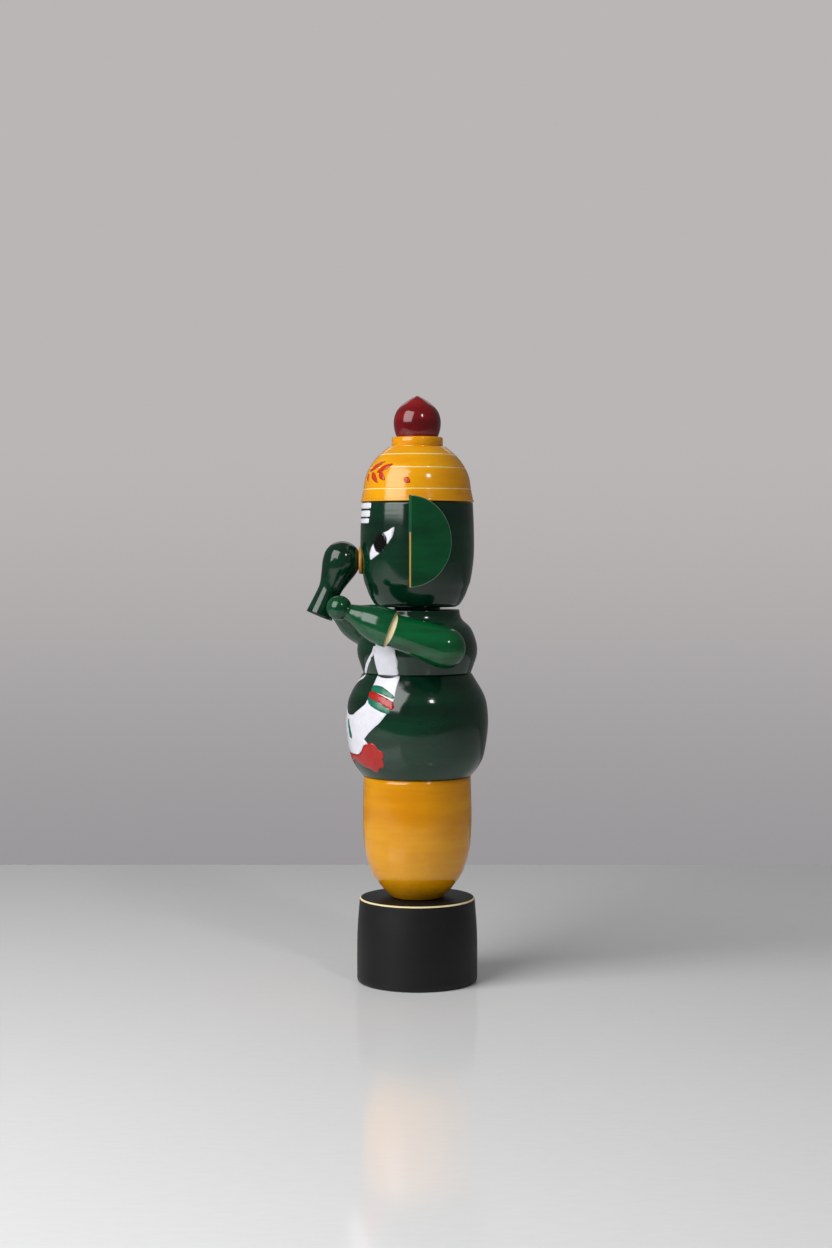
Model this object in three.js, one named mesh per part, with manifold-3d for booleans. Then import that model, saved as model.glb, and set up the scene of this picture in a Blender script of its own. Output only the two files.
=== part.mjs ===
// Turned and lacquered wooden Ganesha figure, built as its maker builds it: lathe-turned blocks
// stacked on dowels, with turned limbs and sawn half-disc ears pegged on.
// Millimetres, +Z up, origin at the centre of the base's underside.
// The body faces -Y, its left arm is on +X. The head is glued on turned a little to its right.
import * as THREE from "three";
import * as BufferGeometryUtils from "three/addons/utils/BufferGeometryUtils.js";
import Module from "manifold-3d";

const wasm = await Module();
wasm.setup();

// Heights and widest radii of the stacked blocks, from the foot up
const BASE_HEIGHT = 36;
const BASE_RADIUS = 25.8;
const LEG_HEIGHT = 51.8;
const LEG_RADIUS = 23.3;
const BELLY_HEIGHT = 43.6;
const BELLY_RADIUS = 30.2;
const CHEST_HEIGHT = 26.8;
const CHEST_RADIUS = 25.4;
const HEAD_HEIGHT = 44.3;
const HEAD_RADIUS = 24.05;
const CROWN_DOME_HEIGHT = 23.2;
const CROWN_OVERHANG = 0.1;
const CROWN_RADIUS = HEAD_RADIUS + CROWN_OVERHANG;
const COLLAR_HEIGHT = 4.2;
const COLLAR_RADIUS = 10.85;
const KNOB_HEIGHT = 17.3;
const KNOB_RADIUS = 9.76;

// Glue gap between seated faces, light gap under the head, and clearance round a dowel
const SEAT_GAP = 0.3;
const NECK_GAP = 1.3;
const DOWEL_CLEARANCE = 0.3;
const HEAD_TURN = 11;

// Dowels: radius and how deep each end goes
const STACK_DOWEL_RADIUS = 4;
const STACK_DOWEL_DEPTH = 10;
const LIMB_DOWEL_RADIUS = 1.8;
const EAR_DOWEL_RADIUS = 1.2;
const SPIGOT_RADIUS = 3.6;
const SPIGOT_LENGTH = 8;

// Ears: sawn half discs, tangent to the head behind its sides
const EAR_RADIUS = 19;
const EAR_CUT_BACK = 0.6;
const EAR_THICKNESS = 2.8;
const EAR_ANGLE = 114.7;
const EAR_FORWARD = 15.1;
const EAR_HEIGHT_ON_HEAD = 27.8;
const EAR_DOWEL_DEPTH = 1.5;

// Trunk: a turned bell that hangs from a flat planed on the face
const TRUNK_LENGTH = 33.7;
const TRUNK_RADIUS = 8.07;
const TRUNK_LEAN = 22.5;
const TRUNK_REACH = 17;
const TRUNK_DROP = 3.9;
const FACE_FLAT_DEPTH = 0.75;
const FACE_FLAT_HEIGHT = 15;
const TRUNK_SEAT_HEIGHT = 19.8;
const TRUNK_SEAT_RADIUS = 5.8;
const TRUNK_SEAT_LENGTH = 3.5;

// Arms: shoulder cap, elbow and hand placed outward of the chest, forward, and up from its foot
const SHOULDER_RADIUS = 8.6;
const ELBOW_RADIUS = 6.8;
const FOREARM_RADIUS = 8;
const WRIST_RADIUS = 2.8;
const HAND_RADIUS = 4.9;
const ARMS = [
  { name: "left", side: 1, shoulder: [5.6, -5.5, 12.0], elbow: [1.1, 16.3, 19.5], hand: [-7.5, 36.6, 27.8] },
  { name: "right", side: -1, shoulder: [5.6, -5.5, 11.0], elbow: [1.1, 16.3, 17.2], hand: [-7.2, 36.6, 27.8] },
];

const STACK_SIDES = 32;
const LIMB_SIDES = 16;
const DOWEL_SIDES = 8;

// Outlines as shares of a block's own radius and height, from the bottom up
const BASE_OUTLINE = [[0.955, 0], [0.99, 0.012], [1, 0.045], [1, 0.6], [0.963, 0.87], [0.955, 0.985], [0.935, 1]];
const LEG_OUTLINE = [
  [0.47, 0], [0.627, 0.07], [0.798, 0.17], [0.893, 0.27], [0.957, 0.38], [0.99, 0.52], [1, 0.7], [0.983, 1],
];
const BELLY_OUTLINE = [
  [0.76, 0], [0.877, 0.105], [0.947, 0.222], [1, 0.484], [0.983, 0.695], [0.927, 0.814], [0.828, 0.931], [0.768, 1],
];
const CHEST_OUTLINE = [
  [0.898, 0], [0.949, 0.134], [1, 0.3], [0.99, 0.48], [0.898, 0.705], [0.764, 0.832], [0.72, 0.91], [0.705, 1],
];
const HEAD_OUTLINE = [
  [0.68, 0], [0.753, 0.025], [0.84, 0.102], [0.894, 0.178], [0.948, 0.27], [1, 0.49], [1, 0.76], [0.98, 1],
];
const DOME_OUTLINE = [[0.986, 0.03], [0.95, 0.21], [0.923, 0.4], [0.88, 0.54], [0.8, 0.69], [0.687, 0.836], [0.5, 1]];
const KNOB_OUTLINE = [[0.89, 0], [1, 0.25], [1, 0.4], [0.87, 0.6], [0.61, 0.8], [0.13, 0.985]];
const TRUNK_OUTLINE = [
  [0.72, 0], [0.62, 0.28], [0.63, 0.39], [0.77, 0.52], [0.94, 0.655], [1, 0.757], [0.966, 0.834], [0.8, 0.896],
  [0.32, 0.979],
];

// Where each block stands
const LEG_FOOT = BASE_HEIGHT + SEAT_GAP;
const BELLY_FOOT = LEG_FOOT + LEG_HEIGHT + SEAT_GAP;
const CHEST_FOOT = BELLY_FOOT + BELLY_HEIGHT + SEAT_GAP;
const HEAD_FOOT = CHEST_FOOT + CHEST_HEIGHT + NECK_GAP;
const CROWN_FOOT = HEAD_FOOT + HEAD_HEIGHT + SEAT_GAP;
const KNOB_FOOT = CROWN_FOOT + CROWN_DOME_HEIGHT + COLLAR_HEIGHT + SEAT_GAP;

const finish = (color, roughness) => new THREE.MeshStandardMaterial({ color, roughness, metalness: 0 });
const BLACK_LACQUER = finish(0x151515, 0.45);
const YELLOW_LACQUER = finish(0xe6a400, 0.15);
const DARK_GREEN_LACQUER = finish(0x0b3b22, 0.12);
const CLEAR_GREEN_LACQUER = finish(0x005a28, 0.12);
const MAROON_LACQUER = finish(0x7a0e14, 0.12);
const BARE_WOOD = finish(0xe0c890, 0.7);

// A smooth outline through the measured shares, with as many steps as the curve needs
function curved(shares, radius, height, steps) {
  const spline = new THREE.SplineCurve(shares.map(([r, z]) => new THREE.Vector2(r * radius, z * height)));
  return spline.getPoints(steps);
}

function revolve(points, sides) {
  return new THREE.LatheGeometry(points, sides).rotateX(Math.PI / 2);
}

// A solid of revolution about +Z, with blind dowel holes where a depth is given
function turned(outline, sides, hole = 0, depthBelow = 0, depthAbove = 0) {
  const low = outline[0].y;
  const high = outline[outline.length - 1].y;
  const at = (r, z) => new THREE.Vector2(r, z);
  const below = depthBelow ? [at(0, low + depthBelow), at(hole, low + depthBelow), at(hole, low)] : [at(0, low)];
  const above = depthAbove ? [at(hole, high), at(hole, high - depthAbove), at(0, high - depthAbove)] : [at(0, high)];
  return revolve([...below, ...outline, ...above], sides);
}

function toSolid(geometry) {
  const bare = geometry.clone();
  bare.deleteAttribute("normal");
  bare.deleteAttribute("uv");
  const merged = BufferGeometryUtils.mergeVertices(bare, 1e-4);
  const vertProperties = new Float32Array(merged.attributes.position.array);
  const triVerts = new Uint32Array(merged.index.array);
  return new wasm.Manifold(new wasm.Mesh({ numProp: 3, vertProperties, triVerts }));
}

function toGeometry(solid) {
  const { vertProperties, triVerts } = solid.getMesh();
  const geometry = new THREE.BufferGeometry();
  geometry.setAttribute("position", new THREE.BufferAttribute(vertProperties, 3));
  geometry.setIndex(new THREE.BufferAttribute(triVerts, 1));
  geometry.computeVertexNormals();
  return geometry;
}

// The turn and place that carry +Z at the origin onto a line through two points
function alongLine(geometry, from, towards) {
  const direction = towards.clone().sub(from).normalize();
  const turn = new THREE.Quaternion().setFromUnitVectors(new THREE.Vector3(0, 0, 1), direction);
  return geometry.applyQuaternion(turn).translate(from.x, from.y, from.z);
}

// A round rod between two points, used for the dowels and, wider, for their holes
function rod(radius, from, to) {
  const length = from.distanceTo(to);
  const cylinder = new THREE.CylinderGeometry(radius, radius, length, DOWEL_SIDES).rotateX(Math.PI / 2);
  return alongLine(cylinder.translate(0, 0, length / 2), from, to);
}

function holeFor(radius, from, to) {
  const reach = to.clone().sub(from).normalize().multiplyScalar(DOWEL_CLEARANCE);
  return rod(radius + DOWEL_CLEARANCE, from.clone().sub(reach), to.clone().add(reach));
}

// Everything on one side of a plane, as a block to cut with
function halfSpace(point, normal) {
  const size = 200;
  const block = new THREE.BoxGeometry(size, size, size).translate(0, 0, size / 2);
  return alongLine(block, point, point.clone().add(normal));
}

const figure = new THREE.Group();
const headGroup = new THREE.Group();
headGroup.rotation.z = THREE.MathUtils.degToRad(-HEAD_TURN);
figure.add(headGroup);

function addPiece(name, geometry, material, parent = figure) {
  const mesh = new THREE.Mesh(geometry, material);
  mesh.name = name;
  parent.add(mesh);
  return mesh;
}

const HOLE_RADIUS = STACK_DOWEL_RADIUS + DOWEL_CLEARANCE;
const HOLE_DEPTH = STACK_DOWEL_DEPTH + DOWEL_CLEARANCE;

function block(outline, radius, height, foot, steps, holeBelow, holeAbove) {
  const points = curved(outline, radius, height, steps);
  return turned(points, STACK_SIDES, HOLE_RADIUS, holeBelow, holeAbove).translate(0, 0, foot);
}

// Base, legs and belly
const baseOutline = BASE_OUTLINE.map(([r, z]) => new THREE.Vector2(r * BASE_RADIUS, z * BASE_HEIGHT));
addPiece("base", turned(baseOutline, STACK_SIDES, HOLE_RADIUS, 0, HOLE_DEPTH), BLACK_LACQUER);
addPiece("leg_drum", block(LEG_OUTLINE, LEG_RADIUS, LEG_HEIGHT, LEG_FOOT, 9, HOLE_DEPTH, HOLE_DEPTH), YELLOW_LACQUER);
addPiece(
  "belly",
  block(BELLY_OUTLINE, BELLY_RADIUS, BELLY_HEIGHT, BELLY_FOOT, 11, HOLE_DEPTH, HOLE_DEPTH),
  DARK_GREEN_LACQUER,
);

// Arms are worked out before the chest, because their dowels go into it
function armPoint(side, [outward, forward, up]) {
  return new THREE.Vector3(side * (CHEST_RADIUS + outward), -forward, CHEST_FOOT + up);
}

function armLayout(arm) {
  const shoulder = armPoint(arm.side, arm.shoulder);
  const elbow = armPoint(arm.side, arm.elbow);
  const hand = armPoint(arm.side, arm.hand);
  const upperWay = elbow.clone().sub(shoulder).normalize();
  const foreWay = hand.clone().sub(elbow).normalize();
  const mitre = upperWay.clone().add(foreWay).normalize();
  const inward = new THREE.Vector3(-shoulder.x, -shoulder.y, 0).normalize();
  const shoulderPeg = [
    shoulder.clone().addScaledVector(inward, -SHOULDER_RADIUS / 2),
    shoulder.clone().addScaledVector(inward, SHOULDER_RADIUS + LIMB_DOWEL_RADIUS * 3),
  ];
  const elbowPeg = [
    elbow.clone().addScaledVector(mitre, -ELBOW_RADIUS),
    elbow.clone().addScaledVector(mitre, ELBOW_RADIUS),
  ];
  return { shoulder, elbow, hand, mitre, shoulderPeg, elbowPeg };
}

const layouts = ARMS.map((arm) => ({ ...arm, ...armLayout(arm) }));

// Chest, with the shoulder dowels' holes drilled in towards its middle
let chest = toSolid(
  block(CHEST_OUTLINE, CHEST_RADIUS, CHEST_HEIGHT, CHEST_FOOT, 11, HOLE_DEPTH, HOLE_DEPTH),
);
for (const { shoulderPeg } of layouts) {
  chest = chest.subtract(toSolid(holeFor(LIMB_DOWEL_RADIUS, ...shoulderPeg)));
}
addPiece("chest", toGeometry(chest), DARK_GREEN_LACQUER);

// What an arm may not enter: the chest and the belly, each grown by the glue gap
function grown(outline, radius, height, foot) {
  const points = curved(outline, radius, height, 11).map((p) => new THREE.Vector2(p.x + SEAT_GAP, p.y));
  return toSolid(turned(points, STACK_SIDES).translate(0, 0, foot));
}
const keepOut = grown(CHEST_OUTLINE, CHEST_RADIUS, CHEST_HEIGHT, CHEST_FOOT).add(
  grown(BELLY_OUTLINE, BELLY_RADIUS, BELLY_HEIGHT, BELLY_FOOT),
);

// Upper arm: a round cap at the shoulder, tapering to the mitred elbow
function upperArm(length) {
  const cap = new THREE.Path().absarc(0, 0, SHOULDER_RADIUS, -Math.PI / 2, 0.1, false).getPoints(7);
  const past = length + FOREARM_RADIUS;
  const points = [...cap, new THREE.Vector2(ELBOW_RADIUS, length), new THREE.Vector2(ELBOW_RADIUS, past)];
  points[0].x = 0;
  return revolve([...points, new THREE.Vector2(0, past)], LIMB_SIDES);
}

// Forearm: a cone from the elbow to the wrist, turned in one with the ball that is the hand
function forearm(length) {
  const before = -FOREARM_RADIUS;
  const wrist = Math.asin(WRIST_RADIUS / HAND_RADIUS);
  const ball = new THREE.Path().absarc(0, length, HAND_RADIUS, wrist - Math.PI / 2, Math.PI / 2, false);
  const points = [
    new THREE.Vector2(0, before),
    new THREE.Vector2(FOREARM_RADIUS, before),
    new THREE.Vector2(FOREARM_RADIUS, length * 0.12),
    new THREE.Vector2((FOREARM_RADIUS + WRIST_RADIUS) / 2, length * 0.47),
    ...ball.getPoints(10),
  ];
  points[points.length - 1].x = 0;
  return revolve(points, LIMB_SIDES);
}

for (const { name, shoulder, elbow, hand, mitre, shoulderPeg, elbowPeg } of layouts) {
  const shoulderHole = toSolid(holeFor(LIMB_DOWEL_RADIUS, ...shoulderPeg));
  const elbowHole = toSolid(holeFor(LIMB_DOWEL_RADIUS, ...elbowPeg));
  const halfGap = mitre.clone().multiplyScalar(SEAT_GAP / 2);
  const beyond = toSolid(halfSpace(elbow.clone().sub(halfGap), mitre));
  const before = toSolid(halfSpace(elbow.clone().add(halfGap), mitre.clone().negate()));
  const upper = toSolid(alongLine(upperArm(shoulder.distanceTo(elbow)), shoulder, elbow));
  const fore = toSolid(alongLine(forearm(elbow.distanceTo(hand)), elbow, hand));
  addPiece(
    `upper_arm_${name}`,
    toGeometry(upper.subtract(beyond).subtract(keepOut).subtract(shoulderHole).subtract(elbowHole)),
    CLEAR_GREEN_LACQUER,
  );
  addPiece(
    `forearm_${name}`,
    toGeometry(fore.subtract(before).subtract(keepOut).subtract(elbowHole)),
    CLEAR_GREEN_LACQUER,
  );
  addPiece(`shoulder_dowel_${name}`, rod(LIMB_DOWEL_RADIUS, ...shoulderPeg), BARE_WOOD);
  addPiece(`elbow_dowel_${name}`, rod(LIMB_DOWEL_RADIUS, ...elbowPeg), BARE_WOOD);
}

// Head group, facing -Y in its own turned frame: trunk and ear places first
const faceFlat = -(HEAD_RADIUS - FACE_FLAT_DEPTH);
const trunkSeat = new THREE.Vector3(0, faceFlat - SEAT_GAP, HEAD_FOOT + TRUNK_SEAT_HEIGHT);
const lean = THREE.MathUtils.degToRad(TRUNK_LEAN);
const trunkTip = new THREE.Vector3(0, -(HEAD_RADIUS + TRUNK_REACH), HEAD_FOOT - TRUNK_DROP);
const trunkWay = new THREE.Vector3(0, Math.sin(lean), Math.cos(lean));
const trunkPeg = [
  trunkSeat.clone().add(new THREE.Vector3(0, STACK_DOWEL_DEPTH * 0.8, 0)),
  trunkSeat.clone().add(new THREE.Vector3(0, -TRUNK_RADIUS, 0)),
];

const earAngle = THREE.MathUtils.degToRad(EAR_ANGLE);
function earLayout(side) {
  const outward = new THREE.Vector3(side * Math.sin(earAngle), -Math.cos(earAngle), 0);
  const inner = outward.clone().multiplyScalar(Math.max(HEAD_RADIUS, CROWN_RADIUS) + SEAT_GAP);
  inner.z = HEAD_FOOT + EAR_HEIGHT_ON_HEAD;
  const peg = [
    inner.clone().addScaledVector(outward, -EAR_DOWEL_DEPTH * 4),
    inner.clone().addScaledVector(outward, EAR_DOWEL_DEPTH),
  ];
  return { outward, inner, peg };
}

let head = toSolid(block(HEAD_OUTLINE, HEAD_RADIUS, HEAD_HEIGHT, HEAD_FOOT, 11, HOLE_DEPTH, HOLE_DEPTH));
const planed = new THREE.BoxGeometry(HEAD_RADIUS * 2, HEAD_RADIUS, FACE_FLAT_HEIGHT);
head = head.subtract(toSolid(planed.translate(0, faceFlat - HEAD_RADIUS / 2, trunkSeat.z)));
head = head.subtract(toSolid(holeFor(LIMB_DOWEL_RADIUS, ...trunkPeg)));

// Ears: a half disc in its own plane, x towards the face, turned so that its back meets the head
for (const [name, side] of [["left", 1], ["right", -1]]) {
  const { outward, inner, peg } = earLayout(side);
  const hole = toSolid(holeFor(EAR_DOWEL_RADIUS, ...peg));
  head = head.subtract(hole);
  const sweep = Math.acos(EAR_CUT_BACK / EAR_RADIUS);
  const outline = new THREE.Shape();
  outline.absarc(EAR_CUT_BACK, 0, EAR_RADIUS, Math.PI - sweep, Math.PI + sweep, false);
  outline.closePath();
  const disc = new THREE.ExtrudeGeometry(outline, { depth: EAR_THICKNESS, bevelEnabled: false, curveSegments: 20 });
  const forward = new THREE.Vector3(side * -Math.cos(earAngle), -Math.sin(earAngle), 0);
  const up = new THREE.Vector3(0, 0, 1);
  const facing = new THREE.Matrix4().makeBasis(forward, up.clone().multiplyScalar(-side), outward);
  const place = inner.clone().addScaledVector(forward, EAR_FORWARD);
  disc.applyMatrix4(facing).translate(place.x, place.y, place.z);
  addPiece(`ear_${name}`, toGeometry(toSolid(disc).subtract(hole)), CLEAR_GREEN_LACQUER, headGroup);
  addPiece(`ear_dowel_${name}`, rod(EAR_DOWEL_RADIUS, ...peg), BARE_WOOD, headGroup);
}
addPiece("head", toGeometry(head), DARK_GREEN_LACQUER, headGroup);

// Trunk: the bell, the bare stub that is glued to the face, and its dowel's hole
const bell = turned(curved(TRUNK_OUTLINE, TRUNK_RADIUS, TRUNK_LENGTH, 12), LIMB_SIDES);
const stubEnd = trunkSeat.clone().add(new THREE.Vector3(0, -TRUNK_SEAT_LENGTH, 0));
const stub = new THREE.CylinderGeometry(TRUNK_SEAT_RADIUS, TRUNK_SEAT_RADIUS, TRUNK_SEAT_LENGTH, LIMB_SIDES);
stub.translate(0, (trunkSeat.y + stubEnd.y) / 2, trunkSeat.z);
const behindSeat = halfSpace(trunkSeat, new THREE.Vector3(0, 1, 0));
const trunk = toSolid(alongLine(bell, trunkTip, trunkTip.clone().add(trunkWay)))
  .add(toSolid(stub))
  .subtract(toSolid(behindSeat))
  .subtract(toSolid(holeFor(LIMB_DOWEL_RADIUS, ...trunkPeg)));
addPiece("trunk", toGeometry(trunk), DARK_GREEN_LACQUER, headGroup);
addPiece("trunk_dowel", rod(LIMB_DOWEL_RADIUS, ...trunkPeg), BARE_WOOD, headGroup);

// Crown: dome with a thin rim, and a collar with a hole for the knob's spigot
const dome = curved(DOME_OUTLINE, CROWN_RADIUS, CROWN_DOME_HEIGHT, 10);
const crownTop = CROWN_DOME_HEIGHT + COLLAR_HEIGHT;
const spigotHole = SPIGOT_RADIUS + DOWEL_CLEARANCE;
const crownOutline = [
  [0, HOLE_DEPTH], [HOLE_RADIUS, HOLE_DEPTH], [HOLE_RADIUS, 0], [CROWN_RADIUS, 0], [CROWN_RADIUS, 0.4],
  ...dome.map((p) => [p.x, p.y]),
  [COLLAR_RADIUS, CROWN_DOME_HEIGHT], [COLLAR_RADIUS, crownTop - 0.5], [COLLAR_RADIUS - 0.5, crownTop],
  [spigotHole, crownTop], [spigotHole, crownTop - SPIGOT_LENGTH - DOWEL_CLEARANCE],
  [0, crownTop - SPIGOT_LENGTH - DOWEL_CLEARANCE],
].map(([r, z]) => new THREE.Vector2(r, z));
addPiece("crown", revolve(crownOutline, STACK_SIDES).translate(0, 0, CROWN_FOOT), YELLOW_LACQUER, headGroup);

// Knob: a heart-shaped finial turned in one with its spigot
const knobOutline = [
  new THREE.Vector2(0, -SPIGOT_LENGTH),
  new THREE.Vector2(SPIGOT_RADIUS, -SPIGOT_LENGTH),
  new THREE.Vector2(SPIGOT_RADIUS, 0),
  ...curved(KNOB_OUTLINE, KNOB_RADIUS, KNOB_HEIGHT, 10),
  new THREE.Vector2(0, KNOB_HEIGHT),
];
addPiece("crown_finial", revolve(knobOutline, LIMB_SIDES).translate(0, 0, KNOB_FOOT), MAROON_LACQUER, headGroup);

// Dowels hidden in the stack, each across one joint
for (const [name, lower, upper] of [
  ["base_dowel", BASE_HEIGHT, LEG_FOOT],
  ["waist_dowel", LEG_FOOT + LEG_HEIGHT, BELLY_FOOT],
  ["chest_dowel", BELLY_FOOT + BELLY_HEIGHT, CHEST_FOOT],
  ["neck_dowel", CHEST_FOOT + CHEST_HEIGHT, HEAD_FOOT],
  ["crown_dowel", HEAD_FOOT + HEAD_HEIGHT, CROWN_FOOT],
]) {
  const foot = new THREE.Vector3(0, 0, lower - STACK_DOWEL_DEPTH);
  const top = new THREE.Vector3(0, 0, upper + STACK_DOWEL_DEPTH);
  addPiece(name, rod(STACK_DOWEL_RADIUS, foot, top), BARE_WOOD);
}

export default figure;
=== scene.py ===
import math

import bmesh
import bpy
from mathutils import Matrix, Vector
from mathutils.geometry import delaunay_2d_cdt, interpolate_bezier


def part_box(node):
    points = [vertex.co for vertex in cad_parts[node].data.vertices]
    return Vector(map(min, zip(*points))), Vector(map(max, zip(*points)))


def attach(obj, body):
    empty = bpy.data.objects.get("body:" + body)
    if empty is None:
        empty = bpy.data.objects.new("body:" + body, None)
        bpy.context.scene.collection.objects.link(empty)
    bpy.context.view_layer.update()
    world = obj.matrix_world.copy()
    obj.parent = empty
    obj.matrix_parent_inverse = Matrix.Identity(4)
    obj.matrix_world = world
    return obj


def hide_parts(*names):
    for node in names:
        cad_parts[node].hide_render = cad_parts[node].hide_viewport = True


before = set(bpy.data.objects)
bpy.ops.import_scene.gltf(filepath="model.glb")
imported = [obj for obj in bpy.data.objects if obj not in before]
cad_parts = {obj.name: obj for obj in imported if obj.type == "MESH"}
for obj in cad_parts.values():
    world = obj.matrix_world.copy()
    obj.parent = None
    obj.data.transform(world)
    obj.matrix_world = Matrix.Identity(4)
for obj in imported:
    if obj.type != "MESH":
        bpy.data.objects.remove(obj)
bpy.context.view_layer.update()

MM = 0.001
ROUND_SEGMENTS = 160
LIMB_SEGMENTS = 72
SIDES = (("left", 1), ("right", -1))
UP = Vector((0, 0, 1))

# The head is glued on turned towards the figure's right
HEAD_TURN = math.radians(11)
TO_HEAD = Matrix.Rotation(-HEAD_TURN, 4, "Z")


# Colours and materials

def linear(value):
    return value / 12.92 if value <= 0.04045 else ((value + 0.055) / 1.055) ** 2.4


def colour(hex_code):
    """An sRGB hex colour as linear RGBA."""
    parts = [int(hex_code[i:i + 2], 16) / 255 for i in (1, 3, 5)]
    return (*map(linear, parts), 1)


def per_metre(spacing):
    """The pattern scale that puts marks this many mm apart."""
    return 1 / (spacing * MM)


def add(tree, kind, settings, links=()):
    """Adds a node with its settings and links. A setting named by a number or a socket's name is an input."""
    node = tree.nodes.new(kind)
    for key, value in settings.items():
        if isinstance(key, int) or key in node.inputs:
            node.inputs[key].default_value = value
        else:
            setattr(node, key, value)
    for key, source in links:
        tree.links.new(source, node.inputs[key])
    return node


def new_material(name):
    """A material with its node tree, its shader and the coordinates that its patterns follow."""
    material = bpy.data.materials.new(name)
    material.use_nodes = True
    tree = material.node_tree
    place = add(tree, "ShaderNodeTexCoord", {}).outputs["Object"]
    return material, tree, tree.nodes["Principled BSDF"], place


# Marks of lac pressed on the turning wood, in mm: tool rings, long bands and cloudy patches
RING_SPACING = 1.1111
RING_LENGTH = 166.67
RING_DEPTH = 0.4
BAND_LENGTH = 83.333
PATCH_SIZE = 18.182
PATCH_SHARE = 0.35

# Noise levels between which the lac goes from thick to thin, and how much rougher thin lac is
THICK_UNTIL = 0.5
THIN_FROM = 0.86
THIN_ROUGHER = 0.09

# White lines cut through the lac, which the yellow stains
CUT_LINE_COLOUR = "#f6dc9c"
CUT_LINE_HALF = 0.17


def lacquer(name, thick, thin, band_spacing, roughness, rings=0.03, ior=1.5, cut_lines=()):
    """Lac melted onto the turning wood: glossy, with bands and rings that run round the piece.

    thick and thin are the lac's colours where it lies so, band_spacing is in mm along the axis, rings is
    how strongly the tool rings show, and cut_lines are the heights in mm of lines cut through the lac.
    """
    material, tree, shader, place = new_material(name)
    along_bands = (per_metre(BAND_LENGTH), per_metre(BAND_LENGTH), per_metre(band_spacing))
    banded = add(tree, "ShaderNodeMapping", {"Scale": along_bands}, [("Vector", place)])
    bands = add(tree, "ShaderNodeTexNoise", {"Scale": 1, "Detail": 6, "Roughness": 0.62},
                [("Vector", banded.outputs[0])])
    patches = add(tree, "ShaderNodeTexNoise", {"Scale": per_metre(PATCH_SIZE), "Detail": 3},
                  [("Vector", place)])
    both = add(tree, "ShaderNodeMath", {"operation": "MULTIPLY_ADD", 1: PATCH_SHARE},
               [(0, patches.outputs["Fac"]), (2, bands.outputs["Fac"])])
    thinness = add(tree, "ShaderNodeMapRange", {"From Min": THICK_UNTIL, "From Max": THIN_FROM},
                   [("Value", both.outputs[0])])
    lac = add(tree, "ShaderNodeMix", {"data_type": "RGBA", 6: colour(thick), 7: colour(thin)},
              [(0, thinness.outputs[0])])
    tint = lac.outputs[2]
    if cut_lines:
        height = add(tree, "ShaderNodeSeparateXYZ", {}, [(0, place)]).outputs["Z"]
    for line in cut_lines:
        near = add(tree, "ShaderNodeMath", {"operation": "COMPARE", 1: line * MM, 2: CUT_LINE_HALF * MM},
                   [(0, height)])
        tint = add(tree, "ShaderNodeMix", {"data_type": "RGBA", 7: colour(CUT_LINE_COLOUR)},
                   [(0, near.outputs[0]), (6, tint)]).outputs[2]
    tree.links.new(tint, shader.inputs["Base Color"])
    gloss = add(tree, "ShaderNodeMapRange", {"To Min": roughness, "To Max": roughness + THIN_ROUGHER},
                [("Value", bands.outputs["Fac"])])
    tree.links.new(gloss.outputs[0], shader.inputs["Roughness"])
    along_rings = (per_metre(RING_LENGTH), per_metre(RING_LENGTH), per_metre(RING_SPACING))
    ringed = add(tree, "ShaderNodeMapping", {"Scale": along_rings}, [("Vector", place)])
    turning = add(tree, "ShaderNodeTexNoise", {"Scale": 1, "Detail": 3}, [("Vector", ringed.outputs[0])])
    relief = add(tree, "ShaderNodeBump", {"Strength": rings, "Distance": RING_DEPTH * MM},
                 [("Height", turning.outputs["Fac"])])
    tree.links.new(relief.outputs[0], shader.inputs["Normal"])
    shader.inputs["IOR"].default_value = ior
    return material


# Grain of pale close-grained wood and marks of a fine brush, in mm
GRAIN_WIDTH = 0.41667
GRAIN_LENGTH = 6.25
GRAIN_DEPTH = 0.2
BRUSH_MARK = 2.381
BRUSH_DEPTH = 0.2


def bare_wood(name, dark, light):
    """Pale close-grained wood left bare by the saw: matte, with fine grain along the figure's height."""
    material, tree, shader, place = new_material(name)
    along_grain = (per_metre(GRAIN_WIDTH), per_metre(GRAIN_WIDTH), per_metre(GRAIN_LENGTH))
    stretched = add(tree, "ShaderNodeMapping", {"Scale": along_grain}, [("Vector", place)])
    grain = add(tree, "ShaderNodeTexNoise", {"Scale": 1, "Detail": 5}, [("Vector", stretched.outputs[0])])
    wood = add(tree, "ShaderNodeMix", {"data_type": "RGBA", 6: colour(dark), 7: colour(light)},
               [(0, grain.outputs["Fac"])])
    tree.links.new(wood.outputs[2], shader.inputs["Base Color"])
    relief = add(tree, "ShaderNodeBump", {"Strength": 0.3, "Distance": GRAIN_DEPTH * MM},
                 [("Height", grain.outputs["Fac"])])
    tree.links.new(relief.outputs[0], shader.inputs["Normal"])
    shader.inputs["Roughness"].default_value = 0.6
    return material


def paint(name, full, worn, roughness=0.25):
    """Opaque paint put on with a fine brush: a slight change of tone and relief from stroke to stroke."""
    material, tree, shader, place = new_material(name)
    brush = add(tree, "ShaderNodeTexNoise", {"Scale": per_metre(BRUSH_MARK), "Detail": 4},
                [("Vector", place)])
    coat = add(tree, "ShaderNodeMix", {"data_type": "RGBA", 6: colour(worn), 7: colour(full)},
               [(0, brush.outputs["Fac"])])
    tree.links.new(coat.outputs[2], shader.inputs["Base Color"])
    relief = add(tree, "ShaderNodeBump", {"Strength": 0.1, "Distance": BRUSH_DEPTH * MM},
                 [("Height", brush.outputs["Fac"])])
    tree.links.new(relief.outputs[0], shader.inputs["Normal"])
    shader.inputs["Roughness"].default_value = roughness
    return material


# Heights of the lines cut in the crown, in mm. The lowest is a groove without a white line.
CROWN_LINES = (224.8, 219.1, 210.2, 206.0)

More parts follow.
